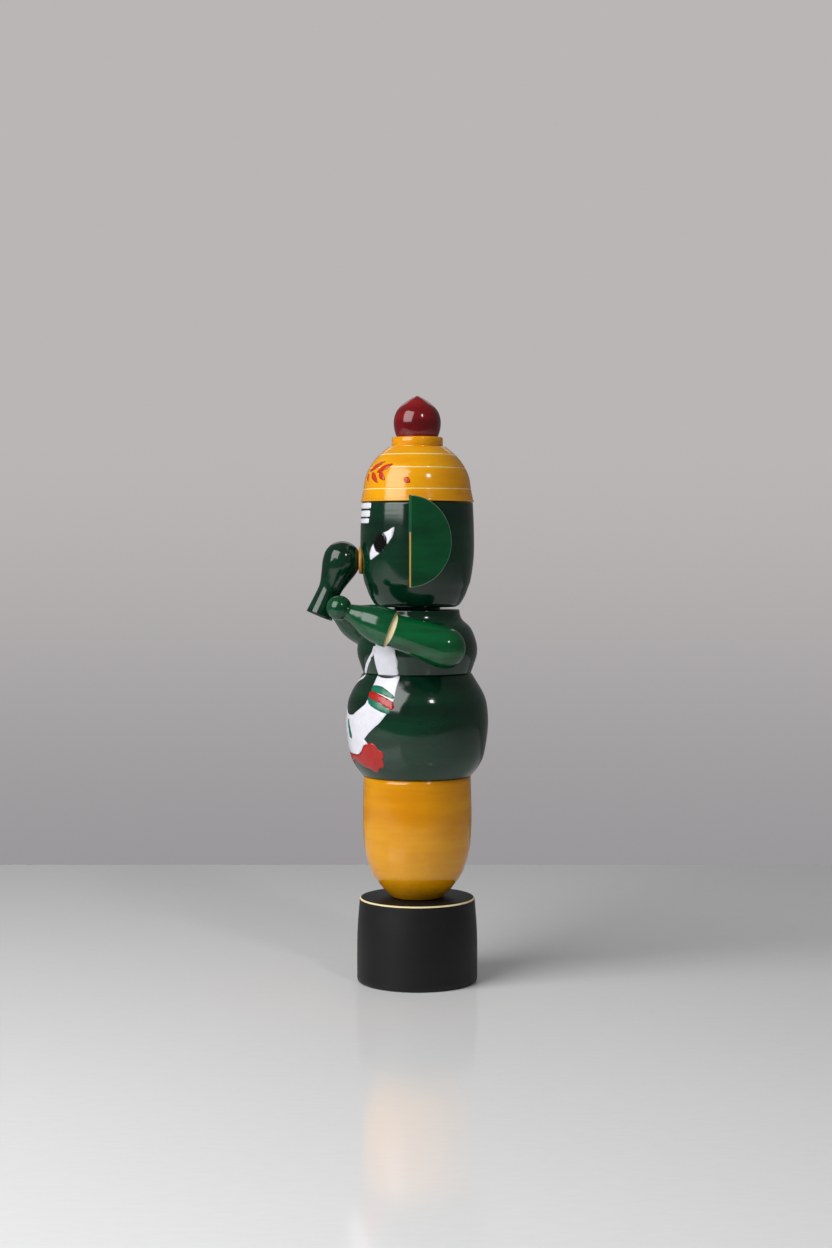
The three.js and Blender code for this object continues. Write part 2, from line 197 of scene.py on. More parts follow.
# Black lac rubbed down to a satin, so it shows a soft sheen and no mirror images
BLACK = lacquer("black lac on turned wood", "#020202", "#0a0a0b", 8.3333, 0.45, rings=0.08, ior=1.4)

# Yellow lac, glossy, with warm bands where it lies thick; the crown's has lines cut down to the wood
YELLOW = lacquer("yellow lac on turned wood", "#cc8200", "#e2a000", 11.111, 0.1)
CROWN_YELLOW = lacquer("yellow lac with cut lines", "#d88800", "#e6a400", 11.111, 0.1,
                       cut_lines=CROWN_LINES[:3])

# Dark green lac laid on thick: almost black, with mirror-like lights
DARK_GREEN = lacquer("dark green lac on turned wood", "#021d12", "#063620", 9.0909, 0.07)

# Clear green lac, which lets the pale wood glow through; calmer on the flat sawn ears
CLEAR_GREEN = lacquer("clear green lac on turned wood", "#00391d", "#005c2c", 6.25, 0.07)
SAWN_GREEN = lacquer("clear green lac on sawn wood", "#00301a", "#00562c", 16.667, 0.09)

# Maroon lac with a high gloss on the knob
MAROON = lacquer("maroon lac on turned wood", "#5c070c", "#8a1218", 8.3333, 0.07)

# Sawn wood: pale where it is bare, golden where old varnish has run on it
RAW = bare_wood("bare sawn wood", "#e0c88c", "#f5ecc6")
GOLD = bare_wood("bare wood under yellowed varnish", "#7d5218", "#cf9c44")

# Pale grey-green paint along the ear's outer edge: a painted highlight of its rounded rim
EDGE_HIGHLIGHT_PAINT = paint("pale green paint for the highlight on the ear's edge", "#7f9f8a", "#4e7a60")

# Brushed paint: soft gloss and flat colours; the black of the eyes is as glossy as the lac
WHITE_PAINT = paint("white brushed paint", "#e9e8f0", "#d3d2dc")
BLACK_PAINT = paint("black brushed paint", "#020202", "#080808", 0.08)
RED_PAINT = paint("red brushed paint", "#bc1a10", "#8e0d07")
ORANGE_PAINT = paint("orange red brushed paint", "#d2400e", "#a82808")
TEAL_PAINT = paint("teal green brushed paint", "#0e7a5c", "#075a42")


# Shared ways of making a piece

def set_piece(mesh, name, node, materials):
    """Makes the mesh a piece of the figure, which stands for a CAD node if one is given."""
    for material in materials:
        mesh.materials.append(material)
    piece = bpy.data.objects.new(name, mesh)
    bpy.context.scene.collection.objects.link(piece)
    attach(piece, "root")
    if node:
        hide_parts(node)


def size_of(node):
    """A turned node's radius, height and foot, in mm."""
    low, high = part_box(node)
    return (high[0] - low[0]) / 2 / MM, (high[2] - low[2]) / MM, low[2] / MM


def smooth_curve(points, steps):
    """Catmull-Rom curve through the points, with steps to each span."""
    ends = [points[0], *points, points[-1]]
    curve = [Vector(points[0])]
    for before, start, end, after in zip(ends, ends[1:], ends[2:], ends[3:]):
        before, start, end, after = map(Vector, (before, start, end, after))
        handles = (start + (end - before) / 6, end - (after - start) / 6)
        span = interpolate_bezier(start, *handles, end, steps + 1)
        curve += [Vector(p[:2]) for p in span[1:]]
    return curve


def smooth_outline(shares, radius, height, foot, steps=6):
    return smooth_curve([(r * radius, foot + z * height) for r, z in shares], steps)


# Radius in mm at which an outline ends short of the axis, so that its last ring isn't a point
AXIS_GAP = 0.02


def arc(radius, centre, start, end, steps):
    """Points on a ball's outline about a height on the axis, kept off the axis itself."""
    angles = [start + (end - start) * k / steps for k in range(steps + 1)]
    return [Vector((max(radius * math.cos(a), AXIS_GAP), centre + radius * math.sin(a))) for a in angles]


def radius_at(outline, height):
    """The outline's radius at a height, both in mm."""
    for under, over in zip(outline, outline[1:]):
        if under.y <= height <= over.y:
            return under.x + (over.x - under.x) * (height - under.y) / (over.y - under.y)
    return outline[0].x if height < outline[0].y else outline[-1].x


# Edges sharper than this stay crisp on turned pieces
CRISP_ANGLE = math.radians(32)


def revolved(profile, segments, bare=()):
    """A closed solid of revolution about Z. profile is (radius, height) in mm from the bottom up.

    bare lists the spans of the profile, by their first point's number, that show the second material.
    Span -1 is the flat underside.
    """
    mesh = bpy.data.meshes.new("turned")
    build = bmesh.new()
    low = build.verts.new((0, 0, profile[0][1] * MM))
    high = build.verts.new((0, 0, profile[-1][1] * MM))
    angles = [2 * math.pi * k / segments for k in range(segments)]
    loops = []
    for radius, height in profile:
        loops.append([build.verts.new((radius * MM * math.cos(a), radius * MM * math.sin(a), height * MM))
                      for a in angles])
    for k in range(segments):
        after = (k + 1) % segments
        build.faces.new((low, loops[0][after], loops[0][k])).material_index = int(-1 in bare)
        build.faces.new((high, loops[-1][k], loops[-1][after]))
        for number, (under, over) in enumerate(zip(loops, loops[1:])):
            face = build.faces.new((under[k], under[after], over[after], over[k]))
            face.material_index = int(number in bare)
    for face in build.faces:
        face.smooth = True
    for edge in build.edges:
        edge.smooth = edge.calc_face_angle(0) < CRISP_ANGLE
    build.to_mesh(mesh)
    build.free()
    return mesh


def cut(mesh, point, normal):
    """Cuts off what lies beyond a plane and closes the cut with the second material."""
    build = bmesh.new()
    build.from_mesh(mesh)
    everything = [*build.verts, *build.edges, *build.faces]
    made = bmesh.ops.bisect_plane(build, geom=everything, plane_co=point, plane_no=normal, clear_outer=True)
    rim = [item for item in made["geom_cut"] if isinstance(item, bmesh.types.BMEdge)]
    for face in bmesh.ops.contextual_create(build, geom=rim)["faces"]:
        face.material_index = 1
        face.smooth = False
        for edge in face.edges:
            edge.smooth = False
    bmesh.ops.recalc_face_normals(build, faces=build.faces)
    build.to_mesh(mesh)
    build.free()


# Distance in m under which a face counts as lying on a plane
ON_PLANE = 1e-6


def lay_bare(mesh, point, normal):
    """Gives what lies beyond a plane the second material."""
    build = bmesh.new()
    build.from_mesh(mesh)
    everything = [*build.verts, *build.edges, *build.faces]
    bmesh.ops.bisect_plane(build, geom=everything, plane_co=point, plane_no=normal)
    for face in build.faces:
        if (face.calc_center_median() - point).dot(normal) > ON_PLANE:
            face.material_index = 1
    build.to_mesh(mesh)
    build.free()


def along(start, end):
    """The matrix that carries +Z at the origin onto the line from start to end."""
    return Matrix.Translation(start) @ (end - start).to_track_quat("Z", "Y").to_matrix().to_4x4()


# The stack of turned blocks. Outlines are shares of each block's radius and height.
LEG_OUTLINE = [(0.47, 0), (0.627, 0.07), (0.798, 0.17), (0.893, 0.27), (0.957, 0.38), (0.99, 0.52), (1, 0.7),
               (0.983, 1)]
BELLY_OUTLINE = [(0.76, 0), (0.877, 0.105), (0.947, 0.222), (1, 0.484), (0.983, 0.695), (0.927, 0.814),
                 (0.828, 0.931), (0.768, 1)]
CHEST_OUTLINE = [(0.898, 0), (0.949, 0.134), (1, 0.3), (0.99, 0.48), (0.898, 0.705), (0.764, 0.832),
                 (0.72, 0.91), (0.705, 1)]
HEAD_OUTLINE = [(0.68, 0), (0.753, 0.025), (0.84, 0.102), (0.894, 0.178), (0.948, 0.27), (1, 0.49), (1, 0.76),
                (0.98, 1)]


def turned_block(node, shares, material):
    """Turns a block of the stack and returns its outline, which the paint on it follows."""
    outline = smooth_outline(shares, *size_of(node))
    set_piece(revolved(outline, ROUND_SEGMENTS), node + "_turned", node, [material])
    return outline


turned_block("leg_drum", LEG_OUTLINE, YELLOW)
belly_surface = turned_block("belly", BELLY_OUTLINE, DARK_GREEN)
chest_surface = turned_block("chest", CHEST_OUTLINE, DARK_GREEN)
head_surface = turned_block("head", HEAD_OUTLINE, DARK_GREEN)

# Neck: the tenon that carries the head shows between it and the chest
NECK_RADIUS = 9.8
NECK_SUNK = 0.2


def turn_neck():
    chest_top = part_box("chest")[1][2] / MM
    head_foot = size_of("head")[2]
    profile = [Vector((NECK_RADIUS, chest_top - NECK_SUNK)), Vector((NECK_RADIUS, head_foot + NECK_SUNK))]
    set_piece(revolved(profile, LIMB_SEGMENTS), "neck_tenon", None, [DARK_GREEN])


turn_neck()

# Base: how far in from its radius the foot's edge and the tapered side lie at heights in mm
BASE_FOOT_EDGE = [(1.1, 0), (0.35, 0.4)]
BASE_SIDE = [(0, 1.5), (0, 12), (0.1, 20), (0.45, 26.5), (0.85, 31.4)]
BASE_SIDE_TOP = (1.15, 0.6)
BASE_BARE_EDGE = 1.7


def turn_base():
    """The block that the figure stands on, with bare wood where the lac ends at its top edge."""
    radius, height, _ = size_of("base")
    top_inset, below_top = BASE_SIDE_TOP
    side = [(radius - inset, level) for inset, level in BASE_SIDE]
    side.append((radius - top_inset, height - below_top))
    profile = [Vector((radius - inset, level)) for inset, level in BASE_FOOT_EDGE]
    profile += smooth_curve(side, 5)
    profile.append(Vector((radius - BASE_BARE_EDGE, height)))
    bare = {len(profile) - 2}
    set_piece(revolved(profile, ROUND_SEGMENTS, bare), "base_turned", "base", [BLACK, RAW])


turn_base()

# Crown: thin rim, dome with cut lines, and a collar. The rim and collar are (inset, height) in mm.
DOME_OUTLINE = [(0.986, 0.03), (0.95, 0.21), (0.923, 0.4), (0.88, 0.54), (0.8, 0.69), (0.687, 0.836),
                (0.5, 1)]
CROWN_RIM = [(0.15, 0), (0, 0.12), (0, 0.4)]
COLLAR_RADIUS = 10.85
COLLAR_HEIGHT = 4.2
COLLAR_PROFILE = [(0.35, 0.05), (0, 0.5), (0, 3.5), (0.25, 4), (0.8, COLLAR_HEIGHT)]
GROOVE_DEPTH = 0.16
GROOVE_HALF = 0.25


def with_grooves(outline, lines):
    """The outline with a small vee cut at each line's height."""
    kept = [p for p in outline if all(abs(p.y - line) > GROOVE_HALF for line in lines)]
    for line in lines:
        for offset, depth in ((-GROOVE_HALF, 0), (0, GROOVE_DEPTH), (GROOVE_HALF, 0)):
            height = line + offset
            kept.append(Vector((radius_at(outline, height) - depth, height)))
    return sorted(kept, key=lambda p: p.y)


def turn_crown():
    """Turns the crown and returns its dome's outline and the height of its collar's top."""
    radius, height, foot = size_of("crown")
    collar_foot = foot + height - COLLAR_HEIGHT
    dome = smooth_outline(DOME_OUTLINE, radius, height - COLLAR_HEIGHT, foot, 10)
    profile = [Vector((radius - inset, foot + level)) for inset, level in CROWN_RIM]
    profile += with_grooves(dome, CROWN_LINES)
    profile += [Vector((COLLAR_RADIUS - inset, collar_foot + level)) for inset, level in COLLAR_PROFILE]
    set_piece(revolved(profile, ROUND_SEGMENTS), "crown_turned", "crown", [CROWN_YELLOW])
    return dome, foot + height


crown_surface, collar_top = turn_crown()

# Knob on the collar, a little fuller than the CAD's; the spigot under it is out of sight
KNOB_OUTLINE = [(0.87, 0), (0.96, 0.15), (1, 0.32), (0.98, 0.46), (0.9, 0.6), (0.75, 0.72), (0.55, 0.82),
                (0.33, 0.91), (0.12, 0.975)]
KNOB_SWELL = 1.03
KNOB_SUNK = 0.05
KNOB_TIP = (0.25, 0.03)


def turn_knob():
    radius = size_of("crown_finial")[0] * KNOB_SWELL
    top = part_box("crown_finial")[1][2] / MM
    profile = smooth_outline(KNOB_OUTLINE, radius, top - collar_top, collar_top - KNOB_SUNK)
    tip_radius, below_top = KNOB_TIP
    profile.append(Vector((tip_radius, top - below_top)))
    mesh = revolved(profile, ROUND_SEGMENTS)
    set_piece(mesh, "crown_finial_turned", "crown_finial", [MAROON])


turn_knob()

# Arms: shoulder, elbow and hand in mm, as the maker pegs them
ARM_JOINTS = {
    "left": ((31, 5.5, 144.3), (26.5, -16.3, 151.8), (17.9, -36.6, 160.1)),
    "right": ((-31, 5.5, 143.3), (-26.5, -16.3, 149.5), (-18.2, -36.6, 160.1)),
}
SHOULDER_RADIUS = 8.6
ELBOW_RADIUS = 6.8
UPPER_ARM_OVERRUN = 9

# How far past their widest point the rounded ends of the upper arm and the trunk run, in radians
SHOULDER_PAST_WIDEST = 0.1
TRUNK_PAST_WIDEST = 0.08
FOREARM_START = (7.4, -8)
FOREARM_TAPER = [(7.9, 0), (8, 0.1), (7.8, 0.27), (6.9, 0.44), (5.3, 0.59), (3.9, 0.72)]
WRIST_RADIUS = 3.2
HAND_RADIUS = 5.2
HAND_LIFT = 0.6
MITRE_GAP = 0.1

# The saw ran off the mitre by this much and left a bare crescent on the outside of the elbow
SAW_TILT = math.radians(19)


def upper_arm_mesh(shoulder, elbow, mitre, outward):
    """A round-ended taper from the shoulder, sawn off at the elbow."""
    length = (elbow - shoulder).length / MM
    profile = arc(SHOULDER_RADIUS, 0, -math.pi / 2, SHOULDER_PAST_WIDEST, 16)
    profile += [Vector((ELBOW_RADIUS, length)), Vector((ELBOW_RADIUS, length + UPPER_ARM_OVERRUN))]
    mesh = revolved(profile, LIMB_SEGMENTS)
    mesh.transform(along(shoulder, elbow))
    sawn_at = elbow - mitre * MITRE_GAP * MM
    cut(mesh, sawn_at, mitre)
    across = (outward - mitre * outward.dot(mitre)).normalized()
    lay_bare(mesh, sawn_at, (mitre + across * math.tan(SAW_TILT)).normalized())
    return mesh


def forearm_mesh(elbow, hand, mitre):
    """A cone from the elbow with a ball for the hand, turned in one."""
    length = (hand - elbow).length / MM
    cone = smooth_curve([FOREARM_START, *((radius, share * length) for radius, share in FOREARM_TAPER)], 6)
    wrist = math.asin(WRIST_RADIUS / HAND_RADIUS) - math.pi / 2
    ball = arc(HAND_RADIUS, length, wrist, math.pi / 2, 22)
    mesh = revolved(cone + ball, LIMB_SEGMENTS)
    mesh.transform(along(elbow, hand + UP * HAND_LIFT * MM))
    cut(mesh, elbow + mitre * MITRE_GAP * MM, -mitre)
    return mesh


for side, sign in SIDES:
    shoulder, elbow, hand = (Vector(point) * MM for point in ARM_JOINTS[side])
    mitre = ((elbow - shoulder).normalized() + (hand - elbow).normalized()).normalized()
    upper = upper_arm_mesh(shoulder, elbow, mitre, Vector((sign, 0, 0)))
    set_piece(upper, f"upper_arm_{side}_turned", f"upper_arm_{side}", [CLEAR_GREEN, RAW])
    fore = forearm_mesh(elbow, hand, mitre)
    set_piece(fore, f"forearm_{side}_turned", f"forearm_{side}", [SAWN_GREEN, RAW])

# Trunk: a turned bell, bare at its sawn end, and flat where a bare stub meets the face
TRUNK_OUTLINE = [(0.72, 0), (0.62, 0.28), (0.63, 0.39), (0.77, 0.52), (0.94, 0.655), (1, 0.76)]
TRUNK_LENGTH = 33.7
TRUNK_RADIUS = 8.07
TRUNK_LEAN = math.radians(22.5)
TRUNK_TIP = Vector((0, -41.8, 156.5)) * MM
TRUNK_SAWN_AT = -24.8
STUB_RADIUS = 5.8
STUB_FLARE = 0.2
STUB_SUNK = 0.02
STUB_END = -23.3
STUB_HEIGHT = 180.2


def turn_trunk():
    profile = smooth_outline(TRUNK_OUTLINE, TRUNK_RADIUS, TRUNK_LENGTH, 0)
    profile += arc(TRUNK_RADIUS, TRUNK_LENGTH - TRUNK_RADIUS, TRUNK_PAST_WIDEST, math.pi / 2, 16)
    mesh = revolved(profile, LIMB_SEGMENTS, {-1})
    lean = Vector((0, math.sin(TRUNK_LEAN), math.cos(TRUNK_LEAN)))
    mesh.transform(along(TRUNK_TIP, TRUNK_TIP + lean))
    cut(mesh, Vector((0, TRUNK_SAWN_AT * MM, 0)), Vector((0, 1, 0)))
    mesh.transform(TO_HEAD)
    set_piece(mesh, "trunk_turned", "trunk", [DARK_GREEN, RAW])


def turn_stub():
    profile = [Vector((STUB_RADIUS, 0)), Vector((STUB_RADIUS + STUB_FLARE, STUB_END - TRUNK_SAWN_AT))]
    mesh = revolved(profile, LIMB_SEGMENTS)
    start = Vector((0, (TRUNK_SAWN_AT + STUB_SUNK) * MM, STUB_HEIGHT * MM))
    mesh.transform(along(start, start + Vector((0, 1, 0))))
    mesh.transform(TO_HEAD)
    set_piece(mesh, "trunk_stub", None, [GOLD])


turn_trunk()
turn_stub()

# Ears: half discs with softened edges. Lac laps round the sawn straight edge and covers its upper part.
EAR_RADIUS = 19
EAR_CUT_BACK = 0.6
EAR_THICKNESS = 2.8
EAR_ANGLE = math.radians(114.7)
EAR_FORWARD = 15.1
EAR_HEIGHT = 188.2
EAR_INNER = 24.45
EAR_EDGE = 0.35
EAR_BEVEL = 0.1
EAR_LAC_LAP = 0.65
EAR_BARE_FROM = 3.8
EAR_STEPS = 72
EAR_LAYERS = [(EAR_EDGE, 0), (EAR_BEVEL, EAR_BEVEL), (0, EAR_EDGE), (0, EAR_LAC_LAP),
              (0, EAR_THICKNESS - EAR_LAC_LAP), (0, EAR_THICKNESS - EAR_EDGE),
              (EAR_BEVEL, EAR_THICKNESS - EAR_BEVEL), (EAR_EDGE, EAR_THICKNESS)]


def ear_ring(shrink, depth, sign):
    """One layer of the ear: the arc, then the point on the straight edge where the bare wood begins."""
    sweep = math.acos(EAR_CUT_BACK / EAR_RADIUS)
    radius = EAR_RADIUS - shrink
    angles = [math.pi - sweep + 2 * sweep * k / EAR_STEPS for k in range(EAR_STEPS + 1)]
    ring = [Vector((min(EAR_CUT_BACK + radius * math.cos(a), 0), radius * math.sin(a), depth))
            for a in angles]
    ring.append(Vector((0, -sign * EAR_BARE_FROM, depth)))
    return ring


def ear_mesh(sign):
    """The ear in its own plane, with x towards the face and z outwards.

    y points down on the left ear and up on the right one.
    """
    build = bmesh.new()
    rings = [[build.verts.new(point * MM) for point in ear_ring(shrink, depth, sign)]
             for shrink, depth in EAR_LAYERS]
    count = EAR_STEPS + 2
    bare_span = EAR_STEPS + 1 if sign == 1 else EAR_STEPS
    middle = len(rings) // 2 - 1
    # From this layer out, the faces along the arc get the pale green line: a painted highlight of the rounded
    # edge
    outer_bevel = len(rings) - 3
    for level, (under, over) in enumerate(zip(rings, rings[1:])):
        for k in range(count):
            after = (k + 1) % count
            face = build.faces.new((under[k], under[after], over[after], over[k]))
            face.smooth = k < EAR_STEPS
            if k == bare_span and level == middle:
                face.material_index = 1
            elif k < EAR_STEPS and level >= outer_bevel:
                face.material_index = 2
    build.faces.new(list(reversed(rings[0])))
    build.faces.new(rings[-1])
    bmesh.ops.recalc_face_normals(build, faces=build.faces)
    mesh = bpy.data.meshes.new("ear")
    build.to_mesh(mesh)
    build.free()
    return mesh


for side, sign in SIDES:
    outward = Vector((sign * math.sin(EAR_ANGLE), -math.cos(EAR_ANGLE), 0))
    forward = Vector((-sign * math.cos(EAR_ANGLE), -math.sin(EAR_ANGLE), 0))
    centre = (outward * EAR_INNER + forward * EAR_FORWARD + UP * EAR_HEIGHT) * MM
    facing = Matrix((forward, UP * -sign, outward)).transposed().to_4x4()
    ear = ear_mesh(sign)
    ear.transform(TO_HEAD @ Matrix.Translation(centre) @ facing)
    # The third material is the painted highlight along the ear's edge
    set_piece(ear, f"ear_{side}_sawn", f"ear_{side}", [SAWN_GREEN, GOLD, EDGE_HIGHLIGHT_PAINT])

# The dowels stay as they are, in bare wood
for name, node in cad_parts.items():
    if "dowel" in name:
        node.data.materials.clear()
        node.data.materials.append(RAW)


# Paint: outlines are (degrees from the head's facing towards the figure's left, height in mm)
PAINT_THICKNESS = 0.05
PAINT_GRID = 1.1

# How the flat outlines are filled: faces inside the outline alone, and points this near in mm are one
INSIDE_ONLY = 1
SAME_POINT = 1e-5


def surface_point(surface, angle, height, proud):
    """A point on a turned block's surface, or proud mm off it."""
    radius = (radius_at(surface, height) + proud) * MM
    turn = math.radians(angle) - HEAD_TURN
    return Vector((radius * math.sin(turn), -radius * math.cos(turn), height * MM))


def filled(outline):
    """The points and faces of a flat outline in mm, with a grid of points inside it."""
    low = Vector((min(p.x for p in outline), min(p.y for p in outline)))
    high = Vector((max(p.x for p in outline), max(p.y for p in outline)))
    across = int((high.x - low.x) / PAINT_GRID)
    up = int((high.y - low.y) / PAINT_GRID)
    grid = [Vector((low.x + (i + 0.5) * PAINT_GRID, low.y + (j + 0.5) * PAINT_GRID))
            for i in range(across) for j in range(up)]
    count = len(outline)
    edges = [(k, (k + 1) % count) for k in range(count)]
    made = delaunay_2d_cdt(outline + grid, edges, [list(range(count))], INSIDE_ONLY, SAME_POINT)
    return made[0], made[2]


def painted(name, surface, outline, material, coats=1, curve=2):
    """A thin closed coat of paint that follows a turned block.

    curve is the number of steps to a span of its outline.
    """
    if curve > 1:
        outline = smooth_curve([*outline, outline[0]], curve)[:-1]
    outline = [Vector(point) for point in outline]
    middle = sum(p.y for p in outline) / len(outline)
    mm_per_degree = math.radians(1) * radius_at(surface, middle)
    points, faces = filled([Vector((p.x * mm_per_degree, p.y)) for p in outline])
    build = bmesh.new()
    front = []
    back = []
    for point in points:
        angle = point.x / mm_per_degree
        front.append(build.verts.new(surface_point(surface, angle, point.y, PAINT_THICKNESS * coats)))
        back.append(build.verts.new(surface_point(surface, angle, point.y, -PAINT_THICKNESS)))
    for face in faces:
        build.faces.new([front[k] for k in face]).smooth = True
    number = {vertex: k for k, vertex in enumerate(front)}
    for edge in [edge for edge in build.edges if edge.is_boundary]:
        first, second = (number[vertex] for vertex in edge.verts)
        build.faces.new((front[first], front[second], back[second], back[first]))
    for face in faces:
        build.faces.new([back[k] for k in reversed(face)])
    bmesh.ops.delete(build, geom=[v for v in build.verts if not v.link_faces], context="VERTS")
    bmesh.ops.recalc_face_normals(build, faces=build.faces)
    mesh = bpy.data.meshes.new(name)
    build.to_mesh(mesh)
    build.free()
    set_piece(mesh, name, None, [material])


def mirrored(outline, centre):
    return [(2 * centre - angle, height) for angle, height in reversed(outline)]


def on_side(outline, sign, centre=0):
    """The outline itself on the figure's left, or its mirror image on the right."""
    return outline if sign == 1 else mirrored(outline, centre)


# Forehead: the lower edge, upper edge and reach in degrees of three white strokes, round at their ends
FOREHEAD_STROKES = ((202, 204.3, 35.2), (198.5, 201.1, 34), (195.8, 197.8, 32.3))
STROKE_END = 1.5


def paint_forehead():
    for number, (low, high, reach) in enumerate(FOREHEAD_STROKES):
        angles = (STROKE_END - reach, -reach / 2, 0, reach / 2, reach - STROKE_END)
        middle = (low + high) / 2
        stroke = [(angle, high) for angle in angles] + [(reach, middle)]
        stroke += [(angle, low) for angle in reversed(angles)] + [(-reach, middle)]
        painted(f"forehead_stroke_{number}", head_surface, stroke, WHITE_PAINT, curve=4)


# Eyes: a black pupil between two white corners, rising away from the trunk
PUPIL = [(54, 191.9), (57.6, 189.9), (58.4, 187.6), (55.6, 184.9), (49.4, 183.4), (44, 184.3), (40.9, 186.9),
         (43.5, 189.4), (48.6, 191.7)]
UPPER_WHITE = [(54.2, 191.7), (60, 192.6), (66.7, 194.2), (65.4, 190.8), (62.2, 188.7), (58.6, 187),
               (58.2, 189.7)]
LOWER_WHITE = [(41, 187.1), (43.8, 184.5), (49.2, 183.2), (43.8, 181.9), (35.4, 180.4), (34.6, 182.9),
               (37.5, 185.6)]


def paint_eye(side, sign):
    painted(f"eye_pupil_{side}", head_surface, on_side(PUPIL, sign), BLACK_PAINT, curve=4)
    painted(f"eye_upper_white_{side}", head_surface, on_side(UPPER_WHITE, sign), WHITE_PAINT)
    painted(f"eye_lower_white_{side}", head_surface, on_side(LOWER_WHITE, sign), WHITE_PAINT)


# Crown: red petals and drops, each from its start to its end with its width in mm
CROWN_PETALS = [((19.6, 217.6), (45.5, 221.7), 2.3), ((37.2, 217), (59, 220.5), 2.5),
                ((28, 217.2), (43.4, 212.6), 2.5), ((42.4, 217), (53, 213.6), 2.5),
                ((18, 216.8), (24, 213.2), 2), ((75.5, 214.5), (82.5, 212.5), 2.3)]
CROWN_MM_PER_DEGREE = 0.38

# Where along a petal it is widest and where it narrows, and its width there as a share of the widest
PETAL_WIDEST = 0.3
PETAL_NARROWS = 0.7
PETAL_FAR_WIDTH = 0.8


def petal(start, end, width):
    """A leaf-shaped stroke that is widest near its start."""
    start = Vector(start)
    end = Vector(end)
    way = Vector(((end.x - start.x) * CROWN_MM_PER_DEGREE, end.y - start.y)).normalized()
    side = Vector((-way.y / CROWN_MM_PER_DEGREE, way.x)) * width / 2
    low = start.lerp(end, PETAL_WIDEST)
    high = start.lerp(end, PETAL_NARROWS)
    far = side * PETAL_FAR_WIDTH
    return [tuple(p) for p in (start, low - side, high - far, end, high + far, low + side)]


def paint_crown(side, sign):
    for number, (start, end, width) in enumerate(CROWN_PETALS):
        shape = on_side(petal(start, end, width), sign)
        painted(f"crown_petal_{side}_{number}", crown_surface, shape, ORANGE_PAINT, curve=3)


# Garland: a white cloth over the chest that hangs in a loop on the belly, centred on the body
GARLAND_CENTRE = 20
CHEST_BAND = [(45, 132.4), (44.8, 133.6), (44.5, 135.5), (44.6, 138.4), (45.1, 141.7), (46.2, 143.7),
              (48, 147.6), (57, 148.6), (66, 147.6), (69.4, 141), (70.9, 138.4), (69.8, 135.5), (68.5, 132.4)]
LOOP_INNER = [(44.6, 132), (44.3, 129.6), (44.2, 127.6), (44, 122), (39, 119), (33, 117.2), (26.5, 115.4),
              (20, 115)]
LOOP_OUTER = [(20, 98.6), (28.1, 98.6), (33, 99.2), (36.6, 100.6), (40.6, 103), (46.4, 103.7), (42, 105.7),
              (47, 108), (52.6, 110.4), (59.1, 113), (65.4, 117), (69.6, 120.6), (70.4, 124), (70.6, 127.4),
              (71.8, 131.1), (71.8, 132.2)]

# Coloured bands across the garland
BANDS = {
    "green": (TEAL_PAINT, [(45, 128.2), (56, 127.7), (68.8, 124.6), (69, 123), (56, 124.8), (44.2, 125.9)]),
    "red": (RED_PAINT, [(44.4, 126), (57, 124.4), (70, 121.6), (69.2, 118.4), (57, 121.3), (44, 123.4)]),
    "teal": (TEAL_PAINT, [(44, 123.4), (55, 121.7), (67.6, 118.4), (65.2, 116.8), (54, 118.6), (46, 120.8)]),
}

# Thin sacred thread across the chest and over the belly's top
THREAD_ON_CHEST = [(46.8, 144.4), (44.2, 140.6), (32.4, 136.2), (21, 132.5), (15, 132.5), (20.5, 134.3),
                   (31.6, 137.8), (41.6, 141.6), (44, 144.4)]
THREAD_ON_BELLY = [(21, 132), (9, 130.3), (-2, 128.2), (-11, 125.8), (-11, 124.5), (-2, 126.8), (9, 128.8),
                   (20, 130.4)]

# Leaf stroke on the garland, and one half of the red flower that hangs under it
LEAF = [(14.8, 113.2), (18.4, 112.6), (23.6, 106.6), (22, 105), (17.6, 106.2)]
FLOWER_LOWER = [(45, 103.9), (51, 104.3), (55, 102.7), (56.6, 101.6), (60.4, 100.8), (61.2, 98.8),
                (59.2, 97.6), (60.6, 95.6), (57.8, 93.6), (54.4, 94), (51.6, 92), (46.6, 91.6), (43, 92.8),
                (37, 93.4), (30, 94.6), (24, 95.8), (20, 96.5)]
FLOWER_UPPER = [(20, 98.45), (28.1, 98.45), (33, 99), (36.6, 100.4), (40.6, 102.8)]


def paint_garland():
    for side, sign in SIDES:
        band = on_side(CHEST_BAND, sign, GARLAND_CENTRE)
        painted(f"garland_chest_{side}", chest_surface, band, WHITE_PAINT, curve=3)
    loop = LOOP_INNER + mirrored(LOOP_INNER[:-1], GARLAND_CENTRE)
    loop += mirrored(LOOP_OUTER[1:], GARLAND_CENTRE) + LOOP_OUTER
    painted("garland_belly", belly_surface, loop, WHITE_PAINT, curve=1)
    for name, (material, outline) in BANDS.items():
        for side, sign in SIDES:
            band = on_side(outline, sign, GARLAND_CENTRE)
            painted(f"garland_{name}_band_{side}", belly_surface, band, material, coats=2)


def paint_thread():
    painted("thread_chest", chest_surface, THREAD_ON_CHEST, WHITE_PAINT)
    painted("thread_belly", belly_surface, THREAD_ON_BELLY, WHITE_PAINT)


def paint_flower():
    painted("garland_leaf", belly_surface, LEAF, TEAL_PAINT, coats=2)
    flower = FLOWER_LOWER + mirrored(FLOWER_LOWER[:-1], GARLAND_CENTRE)
    flower += mirrored(FLOWER_UPPER[1:], GARLAND_CENTRE) + FLOWER_UPPER
    painted("garland_flower", belly_surface, flower, RED_PAINT)


paint_forehead()
for side, sign in SIDES:
    paint_eye(side, sign)
for side, sign in SIDES:
    paint_crown(side, sign)
paint_garland()
paint_thread()
paint_flower()

